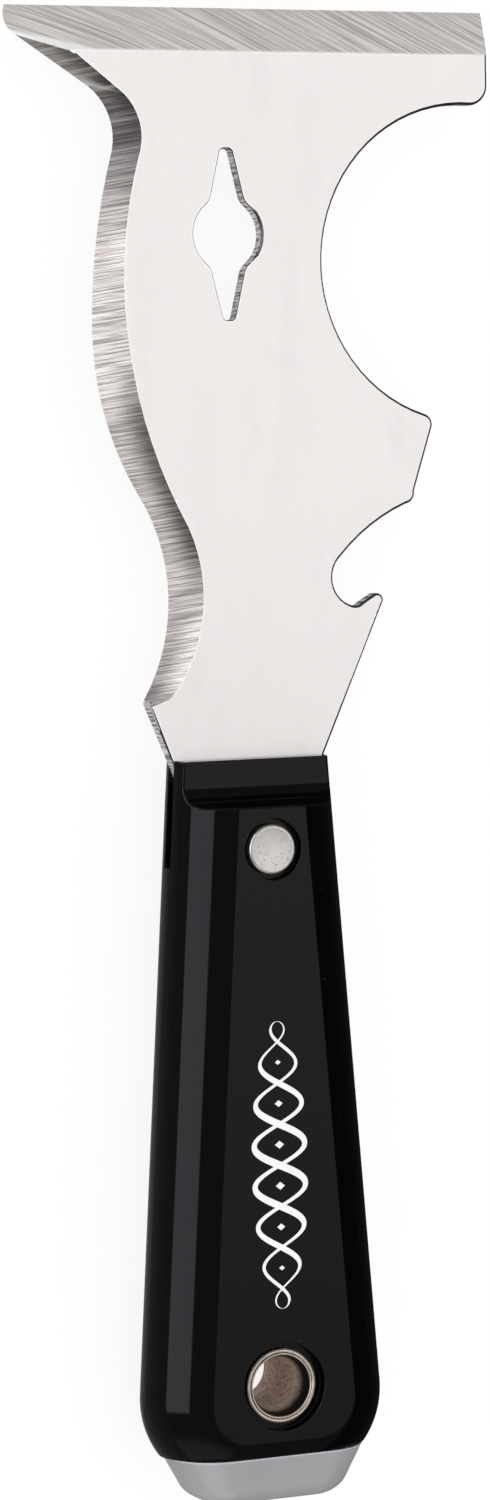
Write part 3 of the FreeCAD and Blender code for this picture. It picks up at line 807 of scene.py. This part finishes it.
class Workshop:
    """Modelling steps that every sub-assembly uses, all in the drawing frame."""

    def __init__(self, tool: ToolFrame, effects: Effects) -> None:
        """Keep the shared frame and effects."""
        self.tool = tool
        self.effects = effects

    @staticmethod
    def from_mesh(mesh: bpy.types.Mesh) -> Shape:
        """A bmesh filled from a mesh."""
        bm = bmesh.new()
        bm.from_mesh(mesh)
        return bm

    @staticmethod
    def bevel(bm: Shape, parts: Sequence[Any], affect: str, width: float,
              segments: int) -> None:
        """Bevel edges or corners round, at their full width."""
        ops.bevel(bm, geom=parts, affect=affect, offset=width, offset_type="OFFSET",
                  segments=segments, profile=0.5, material=-1, clamp_overlap=False)

    def soften(self, bm: Shape, test: EdgeTest, width: float, segments: int) -> None:
        """Round the edges of two faces that pass a test."""
        edges = [edge for edge in bm.edges if len(edge.link_faces) == 2 and test(edge)]
        self.bevel(bm, edges, "EDGES", width, segments)

    @staticmethod
    def lies(edge: Edge, axis: int, place: float, slack: float = HAIR) -> bool:
        """Whether both ends of an edge lie at a place on an axis."""
        return all(abs(vert.co[axis] - place) < slack for vert in edge.verts)

    @staticmethod
    def trim(bm: Shape, point: Sequence[float], normal: Sequence[float]) -> None:
        """Cut off what lies beyond a plane, and close the cut."""
        parts = list(bm.verts) + list(bm.edges) + list(bm.faces)
        cut = ops.bisect_plane(
            bm, geom=parts, plane_co=point, plane_no=normal, clear_outer=True)["geom_cut"]
        ops.contextual_create(bm, geom=[p for p in cut if isinstance(p, Edge)])

    @staticmethod
    def grow(bm: Shape) -> list[bmesh.types.BMVert]:
        """Extrude a flat shape in place, and give the corners that are to move."""
        grown = ops.extrude_face_region(bm, geom=list(bm.faces))["geom"]
        return [part for part in grown if isinstance(part, bmesh.types.BMVert)]

    def carve(self, bm: Shape, cutter: Shape) -> Shape:
        """Cut one closed shape out of another.

        Args:
            bm: The shape to cut, which is freed.
            cutter: The shape to take away, which is freed.

        Returns:
            The shape that is left.
        """
        items = []
        for name, shape in (("carve_base", bm), ("carve_tool", cutter)):
            ops.recalc_face_normals(shape, faces=shape.faces)
            mesh = bpy.data.meshes.new(name)
            shape.to_mesh(mesh)
            shape.free()
            items.append(add_object(name, mesh))
        base, tool = items
        cut = base.modifiers.new("cut", "BOOLEAN")
        cut.operation = "DIFFERENCE"
        cut.solver = "EXACT"
        cut.object = tool
        graph = bpy.context.evaluated_depsgraph_get()
        result = bpy.data.meshes.new_from_object(
            base.evaluated_get(graph), depsgraph=graph)
        left = self.from_mesh(result)
        meshes = [base.data, tool.data, result]
        for item in items:
            bpy.data.objects.remove(item)
        for mesh in meshes:
            bpy.data.meshes.remove(mesh)
        ops.remove_doubles(left, verts=left.verts, dist=0.002)
        return left

    @staticmethod
    def block(low: Sequence[float], high: Sequence[float]) -> Shape:
        """A box between two corners."""
        bm = bmesh.new()
        ops.create_cube(bm, size=1.0)
        ops.scale(bm, vec=[b - a for a, b in zip(low, high)], verts=bm.verts)
        middle = [(a + b) / 2 for a, b in zip(low, high)]
        ops.translate(bm, vec=middle, verts=bm.verts)
        return bm

    @staticmethod
    def lathe(profile: Sequence[Point], y: float, steps: int) -> Shape:
        """Spin a profile of radius and height pairs about an upright axis.

        Args:
            profile: The outline.  It is closed by the axis if both ends lie on it, and
                otherwise by a line from its last point to its first.
            y: Place of the axis along the tool.
            steps: Number of steps round the circle.

        Returns:
            The turned shape.
        """
        bm = bmesh.new()
        points = [bm.verts.new((radius, y, height)) for radius, height in profile]
        ends_on_axis = profile[0][0] == 0.0 and profile[-1][0] == 0.0
        for here, there in zip(points, points[1:] + ([] if ends_on_axis else points[:1])):
            bm.edges.new((here, there))
        ops.spin(bm, geom=list(bm.verts) + list(bm.edges), cent=(0.0, y, 0.0),
                 axis=(0.0, 0.0, 1.0), angle=2 * math.pi, steps=steps, use_merge=True,
                 use_duplicate=False)
        ops.remove_doubles(bm, verts=bm.verts, dist=1e-4)
        ops.recalc_face_normals(bm, faces=bm.faces)
        return bm

    def dress(self, finish: Finish, y: float = 0.0) -> Material:
        """The material of a finish, centred on a place along the tool's axis."""
        return finish.make(self.effects, self.tool.at(0.0, y, 0.0))

    def turn(self, finish: Finish, y: float, steps: int, crease: float, slot: str,
             *pieces: tuple[str, str, Sequence[Point]]) -> None:
        """Lathe pieces of one finish, each given by its name, node and profile."""
        material = self.dress(finish, y)
        for name, node, profile in pieces:
            self.settle(self.lathe(profile, y, steps), name, material, slot, node, crease)

    def settle(self, bm: Shape, name: str, material: Material, slot: str, stands_for: str,
               crease: float) -> None:
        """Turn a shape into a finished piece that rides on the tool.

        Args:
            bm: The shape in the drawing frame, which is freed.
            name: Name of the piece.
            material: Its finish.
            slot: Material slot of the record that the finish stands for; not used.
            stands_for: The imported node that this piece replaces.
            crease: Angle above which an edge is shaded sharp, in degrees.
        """
        for face in bm.faces:
            face.smooth = True
        for edge in bm.edges:
            edge.smooth = edge.smooth and edge.calc_face_angle(0.0) <= math.radians(crease)
        ops.transform(bm, matrix=self.tool.placing(), verts=bm.verts)
        mesh = bpy.data.meshes.new(name)
        bm.to_mesh(mesh)
        bm.free()
        mesh.materials.append(material)
        item = add_object(name, mesh)
        even = item.modifiers.new("even_normals", "WEIGHTED_NORMAL")
        even.keep_sharp = True
        even.weight = 100
        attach(item, ROOT)
        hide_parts(stands_for)
        LOG.info("%s: %d faces, stands for %s", name, len(mesh.polygons), stands_for)


@dataclass
class Blade:
    """The flat blade with its ground bevels, nail slot, opener notch and hidden tang."""

    shop: Workshop
    stamped_round: float = 0.45
    burr_round: float = 0.12
    slot_round: float = 0.16
    slot_box: tuple[Point, Point] = ((-12.0, 58.0), (2.5, 89.0))
    round_segments: int = 4
    flat_lean: float = 0.9999
    wall_lean: float = 0.3
    bevel_lean: float = 0.25
    ground_turn: float = 6.0
    handle_y: float = -1.0

    def build(self) -> None:
        """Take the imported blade, join its faces and break its stamped edges."""
        shop = self.shop
        bm = shop.from_mesh(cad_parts["blade"].data)
        ops.transform(bm, matrix=shop.tool.placing().inverted(), verts=bm.verts)
        ops.remove_doubles(bm, verts=bm.verts, dist=HAIR)
        ops.dissolve_limit(
            bm, angle_limit=math.radians(0.4), verts=bm.verts, edges=bm.edges)
        bm.normal_update()
        for edge in bm.edges:
            edge.smooth = not self._ground_line(edge)
        for side, slot, width in ((1, True, self.slot_round),
                                  (1, False, self.stamped_round),
                                  (-1, True, self.burr_round),
                                  (-1, False, self.burr_round)):
            shop.soften(bm, self._stamped(side, slot), width, self.round_segments)
            bm.normal_update()
        for edge in bm.edges:
            if len({self._scraping(face) for face in edge.link_faces}) > 1:
                edge.smooth = False
        material = shop.dress(GroundSteel("blade_ground_steel"))
        shop.settle(bm, "scraper_blade", material, "blade_steel", "blade", 38.0)

    def _stamped(self, side: int, slot: bool) -> EdgeTest:
        """Test for edges between a broad face and an upright wall, outside the handle.

        Args:
            side: 1 for the front face and -1 for the rear one.
            slot: Whether to take the nail slot's edges, or the outline's.

        Returns:
            The test.
        """
        (left, low), (right, high) = self.slot_box

        def test(edge: Edge) -> bool:
            """Whether one edge is such an edge."""
            lean, flat = sorted(face.normal.z * side for face in edge.link_faces)
            outside = max(vert.co.y for vert in edge.verts) > self.handle_y
            inside = all(
                left < vert.co.x < right and low < vert.co.y < high for vert in edge.verts)
            return (flat > self.flat_lean and abs(lean) < self.wall_lean and outside
                    and inside == slot)
        return test

    def _scraping(self, face: bmesh.types.BMFace) -> bool:
        """Whether a face is the flat scraping bevel."""
        x, y, z = face.normal
        return y > self.bevel_lean and z > 0.9 and abs(x) < 0.02

    def _ground_line(self, edge: Edge) -> bool:
        """Whether an edge is where ground faces meet each other or the front face."""
        facing = min((face.normal.z for face in edge.link_faces), default=0.0)
        return facing > 0.6 and edge.calc_face_angle(0.0) > math.radians(self.ground_turn)


@dataclass
class Scales:
    """The two black handle scales, one moulding used twice."""

    shop: Workshop
    top_half: float = 11.65
    wide_half: float = 17.9
    wide_y: float = -89.3
    butt_y: float = -103.1
    butt_corner: float = 13.83
    stock: float = 9.0
    crest: float = 8.52
    crown: float = 8.75
    height: float = 8.4
    join_y: float = -98.05
    shelf: float = 3.1
    step_y: float = -6.4
    cove: float = 3.1
    end_corner: float = 0.6
    rim_round: float = 0.16
    cove_round: float = 0.32
    channel_depth: float = 1.0
    channel_end: float = -15.0
    tang_half: float = 7.9
    # Each fastener's bore radius, recess radius, recess floor, place and steps round.
    pockets: tuple[tuple[float, float, float, float, int], ...] = (
        (2.55, 4.3, 7.0, -12.4, 72), (4.3, 6.25, 6.8, -88.1, 96))

    def build(self) -> None:
        """Mould one scale, then place it on both sides of the tang."""
        front = self._mould()
        rear = front.copy()
        ops.rotate(rear, verts=rear.verts, cent=(0.0, 0.0, 0.0), matrix=Matrix.Rotation(
            math.pi, 3, "Y"))
        for face, shape in ((Face.FRONT, front), (Face.REAR, rear)):
            side = face.name.lower()
            finish = GlossPlastic(side + "_gloss_plastic", printed=face is Face.FRONT)
            self.shop.settle(shape, side + "_handle_scale", self.shop.dress(finish),
                             "handle_black", side + "_scale", 28.0)

    def _plan(self) -> Shape:
        """The tapered outline with its two large butt corners, as one flat face."""
        bm = bmesh.new()
        verts = []
        for y, sides in ((self.butt_y, (-1, 1)), (self.crown, (1, -1))):
            half = self.top_half + (self.wide_half - self.top_half) * y / self.wide_y
            verts += [bm.verts.new((side * half, y, 0.0)) for side in sides]
        bm.faces.new(verts)
        self.shop.bevel(bm, verts[:2], "VERTICES", self.butt_corner, 28)
        return bm

    def _mould(self) -> Shape:
        """One scale with its flat side down on the blade's middle plane."""
        shop, bm = self.shop, self._plan()
        ops.translate(bm, vec=(0.0, 0.0, self.stock), verts=shop.grow(bm))
        ops.recalc_face_normals(bm, faces=bm.faces)
        ops.translate(bm, vec=(0.0, 0.0, self.crest - self.stock), verts=bm.verts)

        shop.soften(
            bm, lambda e: shop.lies(e, 2, self.crest) and not shop.lies(e, 1, self.crown),
            self.crown, 30)
        for point, normal in (((0.0, 0.0, 0.0), (0.0, 0.0, -1.0)),
                              ((0.0, 0.0, self.height), (0.0, 0.0, 1.0)),
                              ((0.0, self.join_y, 0.0), (0.0, -1.0, 0.0)),
                              ((0.0, 0.0, 0.0), (0.0, 1.0, 0.0))):
            shop.trim(bm, point, normal)
        return self._break_edges(self._cut(bm))

    def _cut(self, bm: Shape) -> Shape:
        """Carve the cove, the tang channel and the fastener holes."""
        shop, room, depth = self.shop, 60.0, self.channel_depth
        cove = shop.block((-room, self.step_y, self.shelf), (room, room, room))
        shop.soften(
            cove, lambda e: shop.lies(e, 1, self.step_y) and shop.lies(e, 2, self.shelf),
            self.cove, 16)
        cutters = [
            cove, shop.block((-room, self.channel_end, -room), (room, room, depth)),
            shop.block((-self.tang_half, -room * 3, -room), (self.tang_half, room, depth))]
        for bore, recess, floor, y, steps in self.pockets:
            cutters.append(shop.lathe(
                [(0.0, -2.0), (bore, -2.0), (bore, floor), (recess, floor), (recess, 12.0),
                 (0.0, 12.0)], y, steps))
        for cutter in cutters:
            bm = shop.carve(bm, cutter)
        return bm

    def _break_edges(self, bm: Shape) -> Shape:
        """Round the end corners, then every sharp edge that shows."""
        shop = self.shop
        ops.dissolve_limit(
            bm, angle_limit=math.radians(0.3), verts=bm.verts, edges=bm.edges)

        def end_corner(edge: Edge) -> bool:
            """Whether an edge is an upright corner of the blade end."""
            low, high = (vert.co for vert in edge.verts)
            return abs(low.z - high.z) > 0.2 and shop.lies(edge, 1, 0.0) and all(
                abs(abs(co.x) - self.top_half) < 0.6 for co in (low, high))

        def shows(edge: Edge) -> bool:
            """Whether an edge is sharp and outside the tang channel."""
            low = max(v.co.z for v in edge.verts) < self.channel_depth + HAIR
            hidden = low and all(abs(v.co.x) < self.tang_half + 0.1 for v in edge.verts)
            return edge.calc_face_angle(0.0) > math.radians(34) and not hidden

        def cove_rim(edge: Edge) -> bool:
            """Whether a sharp edge lies round the cove, above its shelf."""
            high = min(v.co.z for v in edge.verts) > self.shelf - 0.01
            near = min(v.co.y for v in edge.verts) > self.step_y - 0.01
            return high and near and shows(edge)

        shop.soften(bm, end_corner, self.end_corner, 8)
        bm.normal_update()
        shop.soften(bm, cove_rim, self.cove_round, 4)
        bm.normal_update()
        shop.soften(bm, lambda e: shows(e) and not cove_rim(e), self.rim_round, 3)
        ops.recalc_face_normals(bm, faces=bm.faces)
        return bm


@dataclass
class NeckRivet:
    """Two-piece rivet near the blade: a solid post pressed into a tubular cap."""

    shop: Workshop
    y: float = -12.4
    head: float = 3.55
    rim: float = 0.42
    dish: float = 0.07
    top: float = 8.25
    seat: float = 7.0
    shank: float = 1.9
    barrel: float = 2.5

    def build(self) -> None:
        """Turn the post and the cap."""
        finish = PlatedMetal(
            "rivet_nickel_plate", clean=(0.95, 0.915, 0.88), tarnish=(0.66, 0.62, 0.58),
            low_rough=0.24, high_rough=0.5, pit_share=0.24, tarnish_share=0.35, blotch=1.1,
            ring_depth=0.08)
        seat, shank, barrel, inner = self.seat, self.shank, self.barrel, self.head - 0.1
        post = self._head() + [(inner, seat), (shank, seat), (shank, -seat), (0.0, -seat)]
        cap = [(r, -z) for r, z in self._head()] + [
            (inner, -seat), (barrel, -seat), (barrel, seat), (shank, seat),
            (shank, -seat - HAIR), (0.0, -seat - HAIR)]
        self.shop.turn(
            finish, self.y, 96, 50.0, "rivet_nickel",
            ("rivet_solid_post", "rivet_post", post),
            ("rivet_tubular_cap", "rivet_cap", cap))

    def _head(self) -> list[Point]:
        """Profile of the flat head with its rolled rim, from the centre outwards."""
        inner = self.head - self.rim
        arc = [(inner + self.rim * math.sin(a),
                self.top - self.rim + self.rim * math.cos(a))
               for a in (math.radians(15 * step) for step in range(7))]
        return [(0.0, self.top - self.dish), (inner - 0.55, self.top - self.dish),
                (inner - 0.25, self.top - 0.02)] + arc


@dataclass
class HangEyelet:
    """Rolled eyelet through the butt: flange, lip and barrel, with a ring at the rear."""

    shop: Workshop
    y: float = -88.1
    bore: float = 3.9
    barrel: float = 4.25
    flange: float = 5.25
    roll: float = 0.30
    lip: float = 4.53
    lip_roll: float = 0.12
    top: float = 7.5
    seat: float = 6.8
    # The throat's distance outside the bore, and its depth below the top.
    throat: tuple[Point, ...] = (
        (0.47, 0.28), (0.36, 0.5), (0.24, 0.75), (0.12, 1.0), (0.04, 1.3), (0.0, 1.6))

    def build(self) -> None:
        """Turn the flanged barrel and its ring."""
        finish = EyeletNickel(
            "eyelet_warm_nickel", specular=0.12, clean=(0.82, 0.70, 0.59),
            tarnish=(0.26, 0.195, 0.155), rubbed_and_glint=(0.98, 0.88, 0.77), low_rough=0.12,
            high_rough=0.22, pit_spacing=0.6, pit_share=0.12, pit_depth=0.008,
            tarnish_share=0.8, blotch=1.3, ring_depth=0.3, metal=0.75)
        rounding_shade = self._roll(self.flange - self.roll, self.roll, range(-40, 151, 10))
        lip = self._roll(self.lip, self.lip_roll, range(20, 181, 20))
        throat = [(self.bore + out, self.top - down) for out, down in self.throat]
        under = self.flange - 0.1
        tube = [(self.bore, -self.top), (self.barrel, -self.top), (self.barrel, self.seat),
                (under, self.seat)] + rounding_shade + lip + throat
        ring = ([(self.barrel, -self.seat), (under, -self.seat)]
                + [(r, -z) for r, z in rounding_shade] + [(self.barrel, -self.top + 0.15)])
        self.shop.turn(
            finish, self.y, 128, 46.0, "eyelet_nickel",
            ("hang_hole_eyelet", "hang_eyelet", tube),
            ("hang_hole_ring", "eyelet_ring", ring))

    def _roll(self, centre: float, radius: float, turns: Sequence[int]) -> list[Point]:
        """Profile of a roll about its centre line, which crests at the eyelet's top."""
        return [(centre + radius * math.cos(turn),
                 self.top - radius + radius * math.sin(turn))
                for turn in map(math.radians, turns)]


@dataclass
class HammerCap:
    """Cast cap on the butt: a rounded block that tapers to its striking face."""

    shop: Workshop
    join_y: float = -98.05
    end_y: float = -104.8
    join_half: float = 14.45
    join_height: float = 7.8
    join_corner: float = 6.6
    end_half: float = 10.8
    end_height: float = 6.4
    striking_round: float = 2.35

    def build(self) -> None:
        """Draw the join section, pull it to the striking face and round that."""
        shop, bm = self.shop, bmesh.new()
        ops.create_grid(bm, x_segments=1, y_segments=1, size=1.0)
        ops.scale(bm, vec=(self.join_half, self.join_height, 1.0), verts=bm.verts)
        shop.bevel(bm, list(bm.verts), "VERTICES", self.join_corner, 18)
        ops.rotate(bm, verts=bm.verts, cent=(0.0, 0.0, 0.0), matrix=Matrix.Rotation(
            math.pi / 2, 3, "X"))
        ops.translate(bm, vec=(0.0, self.join_y, 0.0), verts=bm.verts)
        moved = shop.grow(bm)
        ops.scale(
            bm,
            vec=(self.end_half / self.join_half, 1.0, self.end_height / self.join_height),
            verts=moved)
        ops.translate(bm, vec=(0.0, self.end_y - self.join_y, 0.0), verts=moved)
        ops.recalc_face_normals(bm, faces=bm.faces)
        shop.soften(bm, lambda e: shop.lies(e, 1, self.end_y), self.striking_round, 12)
        # The bluish-white edge colour is a painted glint along the cap's edges, its join
        # too.
        finish = PlatedMetal(
            "cap_cast_zinc", clean=(0.51, 0.49, 0.51), tarnish=(0.42, 0.40, 0.415),
            rubbed_and_glint=(0.86, 0.87, 0.95), low_rough=0.34, high_rough=0.48, pit_spacing=0.45,
            pit_share=0.2, pit_depth=0.012, tarnish_share=0.4, blotch=5.0, ring_depth=0.0,
            metal=0.45, edge_band_reach=0.45, edge_band_breaks=0.7)
        shop.settle(bm, "butt_hammer_cap", shop.dress(finish, self.join_y), "cap_zinc",
                    "hammer_cap", 40.0)


@dataclass
class CapPin:
    """Cross pin inside the handle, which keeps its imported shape."""

    shop: Workshop

    def build(self) -> None:
        """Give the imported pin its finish."""
        finish = PlatedMetal("pin_bright_steel", clean=(0.6, 0.6, 0.6), ring_depth=0.5)
        low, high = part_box("cap_pin")
        material = finish.make(self.shop.effects, (low + high) / 2)
        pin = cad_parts["cap_pin"]
        pin.data.materials.clear()
        pin.data.materials.append(material)
        LOG.info("cap_pin: packed shape, new finish")


def main() -> None:
    """Build the studio and the tool, piece by piece, and report each one."""
    logging.basicConfig(level=logging.INFO)
    tool = ToolFrame.read()
    studio = Studio()
    studio.camera(tool)
    studio.light()
    studio.floor(tool)
    shop = Workshop(tool, Effects())
    for assembly in (Blade, Scales, NeckRivet, HangEyelet, HammerCap, CapPin):
        assembly(shop).build()


if __name__ == "__main__":
    main()
